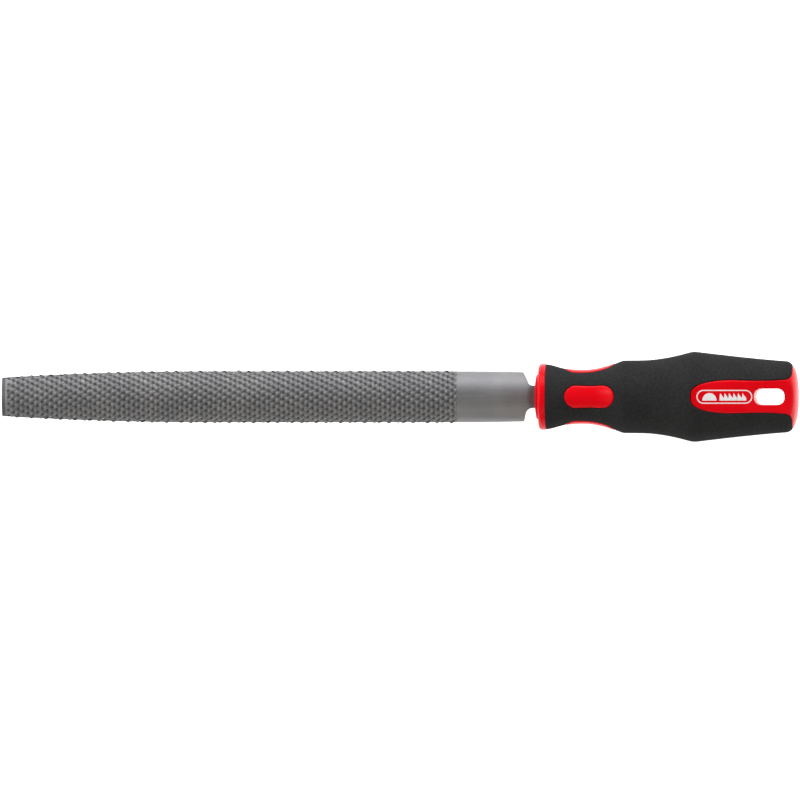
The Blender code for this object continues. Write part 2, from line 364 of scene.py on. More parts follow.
def smooth_least(a, b, blend):
    """The lesser of two heights, with the corner between them rounded."""
    share = np.clip(0.5 + 0.5 * (b - a) / blend, 0, 1)
    return b + (a - b) * share - blend * share * (1 - share)


# ---------------------------------------------------------------- blade


def blade_half_width(x):
    """Half the blade's width: bellied towards its tip, slightly narrower at its heel."""
    belly = (BLADE_HALF_WIDTH - TIP_HALF_WIDTH) * np.clip(1 - x / BELLY_END, 0, None) ** 2
    heel = np.clip((x - TEETH_END) / (BLADE_LENGTH - TEETH_END), 0, 1) ** 2
    return BLADE_HALF_WIDTH - belly - (BLADE_HALF_WIDTH - HEEL_HALF_WIDTH) * heel


def blade_edge(side):
    """Plan of one side of the blade and tang, drawn as the +y one, from the tip to the tang's end."""
    slant_run, slant_rise, fillet, corner = SHOULDERS[side]
    stations = np.linspace(TIP_CORNER, TEETH_END, round(TEETH_END / EDGE_STEP))
    edge = [(0, TIP_HALF_WIDTH - TIP_CORNER)]
    edge += [(x, float(blade_half_width(x))) for x in stations]
    heel = np.linspace(TEETH_END, BLADE_LENGTH - corner, 24)[1:]
    edge += [(x, float(blade_half_width(x))) for x in heel]
    turn = math.degrees(math.atan2(slant_run, slant_rise))
    edge += arc((BLADE_LENGTH - corner, HEEL_HALF_WIDTH - corner), (corner, corner), 80, turn, 5)
    edge.append((BLADE_LENGTH + slant_run, HEEL_HALF_WIDTH - slant_rise))
    edge += arc((NECK, TANG_HALF_WIDTH + fillet), (fillet, fillet), 188, 270, 9)
    edge += spaced(edge.pop(), (TANG_END, TANG_END_HALF_WIDTH), 3.0)
    return edge + [(TANG_END, TANG_END_HALF_WIDTH)]


def blade_plan():
    """The blade's closed outline, seen from its round side, anticlockwise from the tip."""
    far = blade_edge(1)
    near = [(x, -y) for x, y in blade_edge(-1)]
    tip = spaced(far[0], near[0], 0.5)[1:]
    return near + spaced(near[-1], far[-1], 1.0)[1:] + far[::-1] + tip


def tooth_relief(x, across, seed, mirrored):
    """Height of the cut surface over the plain one at points given along and across a face."""
    shape = (3, SCATTER_COLUMNS, SCATTER_ROWS)
    scatter = np.random.default_rng(seed).normal(0, TOOTH_SCATTER, shape)
    turn = -1 if mirrored else 1
    relief = np.zeros(len(x))
    for column_step in (-1, 0, 1):
        column = np.round((x - TEETH_START) / COLUMN_PITCH).astype(int) + column_step
        row_place = (across * turn + column * COLUMN_SHIFT) / TOOTH_PITCH
        for row_step in (-1, 0, 1):
            row = np.round(row_place).astype(int) + row_step
            dx, dy, size = scatter[:, column % SCATTER_COLUMNS, row % SCATTER_ROWS]
            u = x - TEETH_START - column * COLUMN_PITCH - dx
            v = (row_place - row) * TOOTH_PITCH - dy
            cut = (column >= 0) & (column < tooth_columns()) & (x < TEETH_END)
            relief += cut * one_tooth(u, v) * (1 + 2 * size)
    return relief


def one_tooth(u, v):
    """Height of a tooth and of its pit, at u along the blade and v across it from the tooth's middle."""
    reach = np.where(u > 0, TOOTH_BACK, TOOTH_FACE)
    lump = np.clip(1 - (u / reach) ** 2 - (v / TOOTH_HALF_WIDTH) ** 2, 0, 1) ** TOOTH_FULLNESS
    away = np.hypot(u - PIT_PLACE[0], v - PIT_PLACE[1]) / PIT_RADIUS
    return TOOTH_RISE * lump - PIT_SINK * np.clip(1 - away**2, 0, 1) * (lump == 0)


def ring(centre, reach_back, reach_face, half_width, count):
    """Points round an oval that reaches further back than it does towards the tip."""
    found = []
    for i in range(count):
        angle = 2 * math.pi * (i + 0.5) / count
        reach = reach_back if math.cos(angle) > 0 else reach_face
        found.append((centre[0] + reach * math.cos(angle), centre[1] + half_width * math.sin(angle)))
    return found


def tooth_points(half_width, mirrored):
    """Points that outline every tooth of a face: its crest, its foot and its pit."""
    cell = [(0, 0), PIT_PLACE]
    for share, count in TOOTH_RINGS:
        cell += ring((0, 0), share * TOOTH_BACK, share * TOOTH_FACE, share * TOOTH_HALF_WIDTH, count)
    for share, count in PIT_RINGS:
        radius = share * PIT_RADIUS
        cell += ring(PIT_PLACE, radius, radius, radius, count)
    turn = -1 if mirrored else 1
    cell = np.array(cell) * (1, turn)
    found = []
    for column in range(tooth_columns()):
        for row in TOOTH_ROWS:
            x = TEETH_START + column * COLUMN_PITCH
            y = (row * TOOTH_PITCH - column * COLUMN_SHIFT) * turn
            if abs(y) < half_width(x) + RING_REACH:
                found.append(cell + (x, y))
    points = np.concatenate(found)
    inside = (points[:, 0] > TIP_MARGIN) & (points[:, 0] < TEETH_END - EDGE_MARGIN)
    rows = []
    for stations, spacing in ((LAST_ROWS, LAST_ROW_SPACING), (TIP_ROWS, TIP_ROW_SPACING)):
        rows += [(x, y) for x in stations for y in np.arange(-FACE_REACH, FACE_REACH, spacing)]
    points = np.vstack([points[inside], rows])
    return points[np.abs(points[:, 1]) < half_width(points[:, 0]) - EDGE_MARGIN]


def tooth_columns():
    """How many columns of teeth the blade has."""
    return int((TEETH_END - TEETH_START) / COLUMN_PITCH) + 1


def heel_points(half_width):
    """Points over the smooth heel and the tang."""
    found = []
    for i, x in enumerate(np.arange(TEETH_END + HEEL_GAP, TANG_END, HEEL_SPACING)):
        shift = HEEL_SPACING / 2 * (i % 2)
        found += [(x, y + shift) for y in np.arange(-HEEL_REACH, HEEL_REACH, HEEL_SPACING)]
    points = np.array(found)
    x, y = points.T
    taper = (TANG_HALF_WIDTH - TANG_END_HALF_WIDTH) / (TANG_END - NECK)
    shoulders = BLADE_LENGTH - SHOULDER_LEAD
    half = np.where(x > shoulders, TANG_HALF_WIDTH - (x - NECK) * taper, half_width(x))
    return points[np.abs(y) < half - HEEL_MARGIN]


def round_half_width(x):
    """Half the round side's width, measured along its arc."""
    return ROUND_RADIUS * np.arcsin(blade_half_width(x) / ROUND_RADIUS)


def towards_tang(x, blade, neck, end):
    """A height that goes from the blade's to the neck's, and from there to that of the tang's end."""
    share = np.clip((x - BLADE_LENGTH) / (NECK - BLADE_LENGTH), 0, 1)
    share = share * share * (3 - 2 * share)
    beyond = np.clip((x - NECK) / (TANG_END - NECK), 0, 1)
    return blade + (neck - blade) * share + (end - neck) * beyond


def tip_drop(x):
    """How far both faces fall away at the very tip."""
    return TIP_SLOPE_DROP * np.clip(1 - x / TIP_SLOPE_LENGTH, 0, 1)


def round_side(points):
    """Points of the round side, from (x, distance along the arc)."""
    x, along = points.T
    angle = along / ROUND_RADIUS
    edge = np.arcsin(blade_half_width(x) / ROUND_RADIUS)
    y, z = ROUND_RADIUS * np.sin(angle), ROUND_RADIUS * (np.cos(angle) - np.cos(edge))
    z += EDGE_LAND - FLAT_DROP
    bevel = np.clip(1 - (blade_half_width(x) - np.abs(y)) / EDGE_BEVEL_WIDTH, 0, 1)
    z -= EDGE_BEVEL_DROP * bevel + tip_drop(x)
    limit = towards_tang(x, SHOULDER_HEIGHT, TANG_HALF_THICKNESS, TANG_END_HALF_THICKNESS)
    z = np.where(x > BLADE_LENGTH, smooth_least(z, limit, SHOULDER_BLEND), z)
    relief = tooth_relief(x, along, ROUND_SEED, False)
    return np.column_stack([x, y + relief * np.sin(angle), z + relief * np.cos(angle)]), relief


def flat_side(points):
    """Points of the flat side, from (x, y)."""
    x, y = points.T
    floor = tip_drop(x) - towards_tang(x, FLAT_DROP, TANG_HALF_THICKNESS, TANG_END_HALF_THICKNESS)
    relief = tooth_relief(x, y, FLAT_SEED, True)
    return np.column_stack([x, y, floor - relief]), relief


def rasp_blade():
    """The blade in one closed mesh: both cut sides, edges, heel, shoulders and tang."""
    plan = np.array(blade_plan())
    arc_plan = plan.copy()
    arc_plan[:, 1] = ROUND_RADIUS * np.arcsin(plan[:, 1] / ROUND_RADIUS)
    points, relief_and_painted_shades, faces, starts = [], [], [], []
    for outline, half_width, lift, mirrored in (
        (arc_plan, round_half_width, round_side, False),
        (plan, blade_half_width, flat_side, True),
    ):
        inner = np.concatenate([tooth_points(half_width, mirrored), heel_points(half_width)])
        flat = np.concatenate([outline, inner])
        lifted, relief = lift(flat)
        start = sum(len(side) for side in points)
        faces += [[i + start for i in triangle] for triangle in triangulated(outline, inner)]
        starts.append(start)
        points.append(lifted)
        # Painted shade: along the toothed edges and over the tip, dark values take the place of the
        # relief that the material reads.
        edge = half_width(flat[:, 0]) - np.abs(flat[:, 1]) < EDGE_PAINTED_SHADE_WIDTH
        shade = np.where(edge & (flat[:, 0] < TEETH_END), EDGE_PAINTED_SHADE, relief)
        relief_and_painted_shades.append(np.where(flat[:, 0] < TIP_PAINTED_SHADE_LENGTH, TIP_PAINTED_SHADE, shade))
    faces += between(*starts, len(plan))
    relief = np.concatenate(relief_and_painted_shades)
    return piece("toothed_blade", np.concatenate(points), faces, smooth_angle=40, relief=relief)


# ---------------------------------------------------------------- handle


def grip_radius(x):
    """The handle's outer radius ahead of its dome."""
    x = np.asarray(x, float)
    radius = np.full(x.shape, GRIP_OUTLINE[0][1])
    for (x0, r0, m0), (x1, r1, m1) in zip(GRIP_OUTLINE, GRIP_OUTLINE[1:]):
        run = x1 - x0
        t = (x - x0) / run
        value = (2 * t**3 - 3 * t**2 + 1) * r0 + (3 * t**2 - 2 * t**3) * r1
        value += ((t**3 - 2 * t**2 + t) * m0 + (t**3 - t**2) * m1) * run
        radius = np.where((t >= 0) & (t <= 1), value, radius)
    return radius


def outline_point(u):
    """(x, radius) on the handle's outline. u is x up to the dome, then it runs on around the dome."""
    u = np.asarray(u, float)
    angle = np.clip((u - DOME_START) / DOME_TRAVEL, 0, 1) * math.pi / 2
    depth = TOTAL_LENGTH - DOME_START
    over = u > DOME_START
    x = np.where(over, DOME_START + depth * np.sin(angle) ** (2 / DOME_POWER), u)
    on_dome = DOME_RADIUS * np.clip(np.cos(angle), 0, 1) ** (2 / DOME_POWER)
    return x, np.where(over, on_dome, grip_radius(np.minimum(u, DOME_START)))


def outline_place(x):
    """The u of outline_point() at a given x."""
    x = np.asarray(x, float)
    share = np.clip((x - DOME_START) / (TOTAL_LENGTH - DOME_START), 0, 1)
    angle = np.arcsin(share ** (DOME_POWER / 2))
    return np.where(x > DOME_START, DOME_START + DOME_TRAVEL * angle * 2 / math.pi, x)


def on_sheet(plan, from_side=False):
    """Plan points (x, y) as points of the unrolled handle: (u, arc), the arc measured from the top."""
    plan = np.array(plan, float)
    u = outline_place(plan[:, 0])
    radius = outline_point(u)[1]
    angle = np.arcsin(np.clip(plan[:, 1] / radius, -1, 1))
    sheet = np.column_stack([u, SHEET_RADIUS * (math.pi / 2 - angle if from_side else angle)])
    return resampled(sheet, EDGE_SPACING)


def pad_plan(grow):
    """Half the outline of a thumb pad, from its front to its rear."""
    radius = PAD_WIDTH / 2 + grow
    reach = PAD_LENGTH / 2 + grow - radius
    front = arc((PAD_CENTRE - reach, 0), (radius, radius), 180, 90, 24)
    rear = arc((PAD_CENTRE + reach, 0), (radius, radius), 90, 0, 24)
    return front + rear


def tongue_plan(grow):
    """Half the outline of the tongue, from its nose to the side of the handle's end."""
    half = TONGUE_HALF_WIDTH + grow
    waist = half - TONGUE_NARROWING
    nose_end = TONGUE_START + TONGUE_NOSE
    outline = []
    for angle in np.linspace(0, math.pi / 2, 31):
        out = math.sin(angle) ** (2 / TONGUE_NOSE_BLUNTNESS)
        outline.append((nose_end - (TONGUE_NOSE + grow) * math.cos(angle), half * out))
    for x in np.linspace(nose_end, TONGUE_WAIST, 9)[1:]:
        share = (TONGUE_WAIST - x) / (TONGUE_WAIST - nose_end)
        outline.append((x, waist + TONGUE_NARROWING * share**2))
    for x in np.linspace(TONGUE_WAIST, TONGUE_FLARE_START, 9)[1:-1]:
        share = (x - TONGUE_WAIST) / (TONGUE_FLARE_START - TONGUE_WAIST)
        outline.append((x, waist + TONGUE_SPREAD * share**2))
    flare_centre = (TONGUE_FLARE_START, waist + TONGUE_SPREAD + TONGUE_FLARE)
    rear = GRIP_END - grow
    outline += arc(flare_centre, (rear - TONGUE_FLARE_START, TONGUE_FLARE), 270, 360, 12)
    radius = float(outline_point(outline_place(rear))[1])
    around = np.linspace(math.asin(outline[-1][1] / radius), math.pi / 2, 40)[1:]
    return outline + [(rear, radius * math.sin(angle)) for angle in around]


def hole_plan(grow):
    """Half the outline of the hanging hole, from its front to its rear."""
    corner = HOLE_CORNER + grow
    x, y = HOLE_LENGTH / 2 + grow - corner, HOLE_WIDTH / 2 + grow - corner
    front = arc((HOLE_CENTRE - x, y), (corner, corner), 180, 90, 12)
    rear = arc((HOLE_CENTRE + x, y), (corner, corner), 90, 0, 12)
    ends = (HOLE_CENTRE - x - corner, 0), (HOLE_CENTRE + x + corner, 0)
    return [ends[0], *front, *rear, ends[1]]


def left_of(path):
    """Unit vectors to the left of each point of a path but its first and its last."""
    tangent = path[2:] - path[:-2]
    tangent /= np.hypot(*tangent.T)[:, None]
    return np.column_stack([-tangent[:, 1], tangent[:, 0]])


def ring_points(path, fillet, low, high):
    """Points on the left of a soft edge, where its fillet is drawn. The path runs from the low seam
    to the high one.
    """
    before = path[1] * (1, -1) + (0, 2 * low)
    after = path[-2] * (1, -1) + (0, 2 * high)
    left = left_of(np.vstack([before, path, after]))
    return np.vstack([(path + left * fillet * share)[1:-1] for share in RING_SHARES])


def edge_distances(points, edges):
    """How far each point is from the nearest point of the edges."""
    tree = kdtree.KDTree(len(edges))
    for i, (u, s) in enumerate(edges):
        tree.insert((u, s, 0), i)
    tree.balance()
    return np.array([tree.find((u, s, 0))[2] for u, s in points])


def sheet_grid(first, last, edges, clear):
    """A regular field of points over a quarter of the unrolled handle, kept clear of its edges."""
    found = []
    for i, u in enumerate(np.arange(first, last, ROW_SPACING)):
        for s in np.arange(0, QUARTER, SHEET_SPACING) + SHEET_SPACING / 2 * (i % 2):
            if min(s, QUARTER - s, u - first, last - u) > SHEET_MARGIN:
                found.append((u, s))
    return np.array(found)[edge_distances(found, edges) > clear]


def fillet_drop(points, edge, fillet):
    """How far a surface falls towards its soft edge."""
    inward = np.clip(fillet - edge_distances(points, edge), 0, fillet)
    return fillet - np.sqrt(fillet**2 - inward**2)


def rolled(points, lowered, flattened=False):
    """Points of the unrolled handle in space, lowered towards the axis. Flattened ones are also kept
    under the tongue's sloping flat.
    """
    x, radius = outline_point(points[:, 0])
    angle = points[:, 1] / SHEET_RADIUS
    if flattened:
        height = TONGUE_FLAT_HEIGHT + TONGUE_FLAT_SLOPE * (x - TONGUE_START)
        level = height / np.clip(np.cos(angle), LEAST_COSINE, 1)
        cut = smooth_least(radius, level, TONGUE_EDGE_BLEND)
        radius = np.where(radius > POLE_RADIUS, cut, radius)
    radius = np.clip(radius - lowered, 0, None)
    return np.column_stack([x, radius * np.sin(angle), radius * np.cos(angle)])


def inside_of(points, wall):
    """The same points on the inner face of a moulded skin."""
    x, radius = outline_point(points[:, 0])
    angle = points[:, 1] / SHEET_RADIUS
    radius = radius - np.minimum(wall, radius / 2)
    x = np.minimum(x, (x + DOME_START) / 2)
    return np.column_stack([x, radius * np.sin(angle), radius * np.cos(angle)])


def skin(outline, inner, drop, wall, flattened=False, seams=()):
    """Points and faces of a moulded skin, closed everywhere but on its seams."""
    flat = np.concatenate([outline, inner])
    count = len(flat)
    triangles = triangulated(outline, inner)
    faces = [*triangles, *[[i + count for i in reversed(t)] for t in triangles]]
    for side in between(0, count, len(outline)):
        ends = flat[list(side[:2]), 1]
        if not any(np.all(np.abs(ends - seam_place) < CLOSE) for seam_place in seams):
            faces.append(side)
    return np.concatenate([rolled(flat, drop, flattened), inside_of(flat, wall)]), faces


def shell(name, outline, inner, drop, wall, flattened=False):
    """A quarter of a moulded skin, mirrored to the whole."""
    obj = piece(name, *skin(outline, inner, drop, wall, flattened, (0, QUARTER)))
    mirror = obj.modifiers.new("quarters", "MIRROR")
    mirror.use_axis = (False, True, True)
    mirror.merge_threshold = 2 * MERGE_METRES
    centre = bpy.data.objects.new("mirror_centre", None)
    centre.location = ORIGIN
    bpy.context.scene.collection.objects.link(centre)
    bpy.context.view_layer.update()
    mirror.mirror_object = centre
    applied(obj)
    bpy.data.objects.remove(centre)
    return shaded(obj)


def soft_grip():
    """The black overmould: a sleeve with four windows and two slots for the tongues."""
    window = on_sheet(pad_plan(SEAM))
    side_window = on_sheet(pad_plan(SEAM), True)
    tongue = on_sheet(tongue_plan(SEAM))
    first = GRIP_START + SEAM
    outline = [
        *seam((first, 0), window[0], 0, GRIP_FILLET),
        *window[:-1],
        *seam(window[-1], tongue[0], GRIP_FILLET, GRIP_FILLET),
        *tongue[:-1],
        *seam(tongue[-1], side_window[-1], GRIP_FILLET, GRIP_FILLET),
        *side_window[:0:-1],
        *seam(side_window[0], (first, QUARTER), GRIP_FILLET, 0),
        *spaced((first, QUARTER), (first, 0), SHEET_SPACING),
    ]
    edges = np.vstack([window, side_window, tongue])
    rings = np.vstack([
        ring_points(window, GRIP_FILLET, 0, 0),
        ring_points(tongue, GRIP_FILLET, 0, QUARTER),
        ring_points(side_window[::-1], GRIP_FILLET, QUARTER, QUARTER),
    ])
    grid = sheet_grid(first, outline_place(GRIP_END), edges, GRIP_FILLET + GRID_MARGIN)
    inner = np.vstack([rings, grid])
    drop = fillet_drop(np.concatenate([outline, inner]), edges, GRIP_FILLET)
    return shell("soft_grip_moulding", outline, inner, drop, GRIP_WALL - SEAM)


def thumb_pad(index):
    """One red pad in its window. The pads sit on the core at quarter turns."""
    half = on_sheet(pad_plan(-SEAM))
    outline = np.vstack([half, half[-2:0:-1] * (1, -1)])[::-1]
    left = left_of(np.vstack([outline[-1], outline, outline[0]]))
    rings = [outline + left * CORE_FILLET * share for share in RING_SHARES]
    columns = np.arange(PAD_CENTRE - PAD_LENGTH / 2, PAD_CENTRE + PAD_LENGTH / 2, PAD_SPACING)
    field = np.array([(u, s) for u in columns for s in np.arange(-PAD_REACH, PAD_REACH, PAD_SPACING)])
    field = field[edge_distances(field, outline) > CORE_FILLET + GRID_MARGIN]
    inner = np.vstack([*rings, field])
    drop = fillet_drop(np.concatenate([outline, inner]), outline, CORE_FILLET) - PAD_PROUD
    points, faces = skin(outline, inner, drop, GRIP_WALL + OVERLAP)
    turn = np.array(Matrix.Rotation(index * math.pi / 2, 3, "X"))
    return piece(f"thumb_pad_{index}", points @ turn.T, faces)


def tail():
    """The core's outer skin at the rear: both tongues, the domed end and the hanging hole's rim."""
    tongue = on_sheet(tongue_plan(0))[::-1]
    hole = on_sheet(hole_plan(HOLE_LEDGE))
    pole = DOME_START + DOME_TRAVEL
    outline = [
        *seam(tongue[-1], hole[0], CORE_FILLET, HOLE_FILLET),
        *hole[:-1],
        *seam(hole[-1], (pole, 0), HOLE_FILLET, 0),
        *spaced((pole, 0), (pole, QUARTER), SHEET_SPACING),
        *seam((pole, QUARTER), tongue[0], 0, CORE_FILLET),
        *tongue[:-1],
    ]
    rings = np.vstack([
        ring_points(tongue, CORE_FILLET, QUARTER, 0),
        ring_points(hole, HOLE_FILLET, 0, 0),
    ])
    edges = np.vstack([tongue, hole])
    grid = sheet_grid(TONGUE_START, pole, edges, HOLE_FILLET + GRID_MARGIN)
    inner = np.vstack([rings, grid])
    flat = np.concatenate([outline, inner])
    drop = fillet_drop(flat, tongue, CORE_FILLET) + fillet_drop(flat, hole, HOLE_FILLET)
    return shell("tail", outline, inner, drop, GRIP_WALL + TAIL_OVERLAP, True)


def core_profile():
    """The turned body of the core: tang bore, bush seat, domed flange, waist under the grip, rear."""
    flange = arc(
        (FLANGE_START + FLANGE_FILLET, FLANGE_RADIUS - FLANGE_FILLET),
        (FLANGE_FILLET, FLANGE_FILLET), 180, 90, 8,
    )
    rear = GRIP_START - SEAM / 2
    rear_corner = (rear - GRIP_FILLET, FLANGE_RADIUS - GRIP_FILLET)
    seat, seat_end = BUSH_RADIUS + BUSH_GAP, BUSH_END + BUSH_GAP
    mouth = FLANGE_START - FLANGE_DOME
    waist = np.arange(GRIP_START, DOME_START, 1.0)
    return [
        (TANG_BORE_END, 0),
        (TANG_BORE_END, TANG_BORE_RADIUS),
        (seat_end, TANG_BORE_RADIUS),
        (seat_end, seat),
        (mouth, seat),
        (mouth + MOUTH_BEVEL_RUN, seat + MOUTH_BEVEL_RISE),
        *flange,
        *arc(rear_corner, (GRIP_FILLET, GRIP_FILLET), 90, 0, 4),
        (rear, GRIP_OUTLINE[0][1] - GRIP_WALL),
        *[(x, float(grip_radius(x)) - GRIP_WALL) for x in waist],
        (DOME_START + OVERLAP, DOME_RADIUS - GRIP_WALL),
        (DOME_START + OVERLAP, 0),
    ]


def hole_cutter():
    """A bar in the hanging hole's outline. It has no points on the seam of the parts that it cuts."""
    half = resampled(hole_plan(0), EDGE_SPACING)[1:-1]
    plan = np.vstack([half, half[::-1] * (1, -1)])
    points = [(x, y, z) for z in (-CUTTER_REACH, CUTTER_REACH) for x, y in plan]
    count = len(plan)
    ends = [range(count), range(count, 2 * count)]
    return piece("hole_cutter", points, ends + between(0, count, count))


def hard_core():
    """The whole red moulding as one body."""
    core = turned("handle_core_moulding", core_profile())
    combined(core, "UNION", tail())
    combined(core, "DIFFERENCE", hole_cutter())
    combined(core, "UNION", *[thumb_pad(i) for i in range(4)])
    return shaded(core)


def front_bush():
    """The stepped disc that the tang goes through."""
    edge = BUSH_RADIUS - BUSH_FILLET
    corner = (HANDLE_START + BUSH_CROWN + BUSH_FILLET, edge)
    rim = arc(corner, (BUSH_FILLET, BUSH_FILLET), 180, 90, 6)
    crown = [(HANDLE_START + BUSH_CROWN * (r / edge) ** 2, r) for r in np.linspace(0, edge, 9)[:-1]]
    profile = [*crown, *rim, (BUSH_END, BUSH_RADIUS), (BUSH_END, 0)]
    bush = turned("front_bush", profile)
    half_width, half_height = TANG_HALF_WIDTH + SLOT_GAP, TANG_HALF_THICKNESS + SLOT_GAP
    section = [(half_width * a, half_height * b) for a, b in ((-1, -1), (1, -1), (1, 1), (-1, 1))]
    ends = (HANDLE_START - CUTTER_PAST, BUSH_END + CUTTER_PAST)
    points = [(x, y, z) for x in ends for y, z in section]
    faces = [range(4), range(4, 8), *between(0, 4, 4)]
    return shaded(combined(bush, "DIFFERENCE", piece("slot_cutter", points, faces)))


# ---------------------------------------------------------------- looks


def new_look(name):
    """A new material, its node tree and its shader."""
    made = bpy.data.materials.new(name)
    made.use_nodes = True
    return made, made.node_tree, made.node_tree.nodes["Principled BSDF"]


def node(tree, kind, inputs=None, **settings):
    """A new node. Its inputs are given by name, each a value or another node's output."""
    made = tree.nodes.new(kind)
    for key, value in settings.items():
        setattr(made, key, value)
    for key, value in (inputs or {}).items():
        if isinstance(value, bpy.types.NodeSocket):
            tree.links.new(value, made.inputs[key])
        else:
            made.inputs[key].default_value = value
    return made


def noise(tree, vector, scale, detail):
    """A soft noise, about 0.5."""
    inputs = {"Vector": vector, "Scale": scale, "Detail": detail}
    return node(tree, "ShaderNodeTexNoise", inputs).outputs["Fac"]


def ramp(tree, factor, *stops):
    """A colour ramp through (position, colour) stops."""
    made = node(tree, "ShaderNodeValToRGB", {"Fac": factor})
    elements = made.color_ramp.elements
    while len(elements) < len(stops):
        elements.new(0.5)
    for element, (position, colour) in zip(elements, stops):
        element.position = position
        element.color = (*colour, 1)
    return made.outputs["Color"]


def greys(tree, factor, *stops):
    """A ramp of greys through (position, level) stops."""
    return ramp(tree, factor, *[(position, (level,) * 3) for position, level in stops])


def mixed(tree, factor, first, second):
    """The first colour multiplied by the second, as far as the factor says."""
    made = node(tree, "ShaderNodeMix", data_type="RGBA", blend_type="MULTIPLY")
    made.inputs[0].default_value = factor
    tree.links.new(first, made.inputs[6])
    tree.links.new(second, made.inputs[7])
    return made.outputs[2]


def bumped(tree, shader, height, strength, distance):
    """Gives the shader small bumps."""
    inputs = {"Height": height, "Strength": strength, "Distance": distance}
    bump = node(tree, "ShaderNodeBump", inputs)
    tree.links.new(bump.outputs[0], shader.inputs["Normal"])


def steel():
    """Hardened tool steel: satin grey, ground along its length, with painted shade from its relief:
    darker in its pits, at the feet of its teeth, along its toothed edges and at its tip than on its
    crests; slightly less red beyond the blade.
    """
    made, tree, shader = new_look("file_steel")
    place = node(tree, "ShaderNodeTexCoord").outputs["Object"]
    along = node(tree, "ShaderNodeMapping", {"Vector": place, "Scale": (60, 1800, 1800)}).outputs[0]
    streaks = noise(tree, along, 1.0, 4.0)
    clouds = noise(tree, place, 90.0, 3.0)
    relief = node(tree, "ShaderNodeAttribute", attribute_name="relief").outputs["Fac"]
    depth = node(tree, "ShaderNodeMath", {0: relief, 1: 0.5}, operation="ADD").outputs[0]
    base = ramp(tree, clouds, (0.35, (0.25, 0.25, 0.255)), (0.65, (0.295, 0.29, 0.285)))
    scratched = mixed(tree, 0.35, base, greys(tree, streaks, (0.3, 0.72), (0.7, 1.0)))
    # Painted shade: the relief sets how dark the steel is, darkest in the pits and at the edges, dark at
    # the feet of the teeth, lighter on the crests and the plain heel.
    painted_pit_shade = ((0.0, 0.08), (0.2, 0.25), (0.49, 0.45))
    painted_tooth_shade = ((0.51, 0.52), (0.7, 0.68), (0.95, 0.85))
    shade = greys(tree, depth, *painted_pit_shade, (0.5, 0.85), *painted_tooth_shade)
    # From the blade's end to the neck the steel is made less red.
    blade_end, neck = (ORIGIN.x + x * MM for x in (BLADE_LENGTH, NECK))
    length = node(tree, "ShaderNodeSeparateXYZ", {0: place}).outputs["X"]
    less_red_to_neck = ramp(tree, length, (blade_end, (1.0, 1.0, 1.0)), (neck, (0.72, 0.98, 1.0)))
    colour = mixed(tree, 1.0, mixed(tree, 1.0, scratched, shade), less_red_to_neck)
    tree.links.new(colour, shader.inputs["Base Color"])
    rough = greys(tree, streaks, (0.3, 0.44), (0.7, 0.54))
    tree.links.new(rough, shader.inputs["Roughness"])
    bumped(tree, shader, streaks, 0.15, 0.00004)
    shader.inputs["Metallic"].default_value = 0.6
    return made


def red_plastic(name, dark, light, rough_low, refraction):
    """Red polypropylene with a faint flow pattern and moulding texture."""
    made, tree, shader = new_look(name)
    place = node(tree, "ShaderNodeTexCoord").outputs["Object"]
    flow = noise(tree, place, 70.0, 3.0)
    grain = noise(tree, place, 2600.0, 2.0)
    colour = ramp(tree, flow, (0.3, dark), (0.7, light))
    tree.links.new(colour, shader.inputs["Base Color"])
    rough = greys(tree, flow, (0.3, rough_low), (0.7, rough_low + 0.08))
    tree.links.new(rough, shader.inputs["Roughness"])
    bumped(tree, shader, grain, 0.06, 0.00002)
    shader.inputs["IOR"].default_value = refraction
    return made


def black_grip():
    """Matte black thermoplastic rubber with a fine spark-eroded grain."""
    made, tree, shader = new_look("black_soft_rubber")
    place = node(tree, "ShaderNodeTexCoord").outputs["Object"]
    grain = noise(tree, place, 1400.0, 4.0)
    smears = noise(tree, place, 110.0, 4.0)
    speckled = greys(tree, grain, (0.3, 0.023), (0.7, 0.036))
    dusty = greys(tree, smears, (0.3, 0.7), (0.7, 1.0))
    tree.links.new(mixed(tree, 0.6, speckled, dusty), shader.inputs["Base Color"])
    rough = greys(tree, smears, (0.3, 0.62), (0.7, 0.74))
    tree.links.new(rough, shader.inputs["Roughness"])
    bumped(tree, shader, grain, 0.25, 0.00005)
    shader.inputs["IOR"].default_value = 1.05
    return made


def white_ink():
    """Pad-printed white ink, slightly thin in places."""
    made, tree, shader = new_look("white_print_ink")
    place = node(tree, "ShaderNodeTexCoord").outputs["Object"]
    patches = noise(tree, place, 900.0, 3.0)
    colour = ramp(tree, patches, (0.25, (0.78, 0.6, 0.6)), (0.45, (0.86, 0.85, 0.85)))
    tree.links.new(colour, shader.inputs["Base Color"])
    rough = greys(tree, patches, (0.3, 0.4), (0.7, 0.55))
    tree.links.new(rough, shader.inputs["Roughness"])
    return made


# ---------------------------------------------------------------- print


def mark_frame(inset):
    """A stadium round the print, closed, its ends round."""
    radius = MARK_WIDTH / 2
    near, far = MARK_START + radius, MARK_START + MARK_LENGTH - radius
    reach = (radius - inset, radius - inset)
    return arc((near, 0), reach, 90, 270, 24) + arc((far, 0), reach, 270, 450, 24)


def on_tongue(outline, proud):
    """Plan points on the tongue's sloping flat."""
    return [
        (x, y, TONGUE_FLAT_HEIGHT + TONGUE_FLAT_SLOPE * (x - TONGUE_START) + proud)
        for x, y in outline
    ]


def tooth_row(start, base):
    """A bar with saw teeth along its upper edge, closed, from its lower rear corner."""
    end = start + MARK_TEETH * MARK_TOOTH
    outline = [(end, base), (end, base + MARK_BAR)]
    for i in reversed(range(MARK_TEETH)):
        outline.append((start + (i + MARK_LEAN) * MARK_TOOTH, base + MARK_HEIGHT))
        outline.append((start + i * MARK_TOOTH, base + MARK_BAR))
    return [*outline, (start, base)]


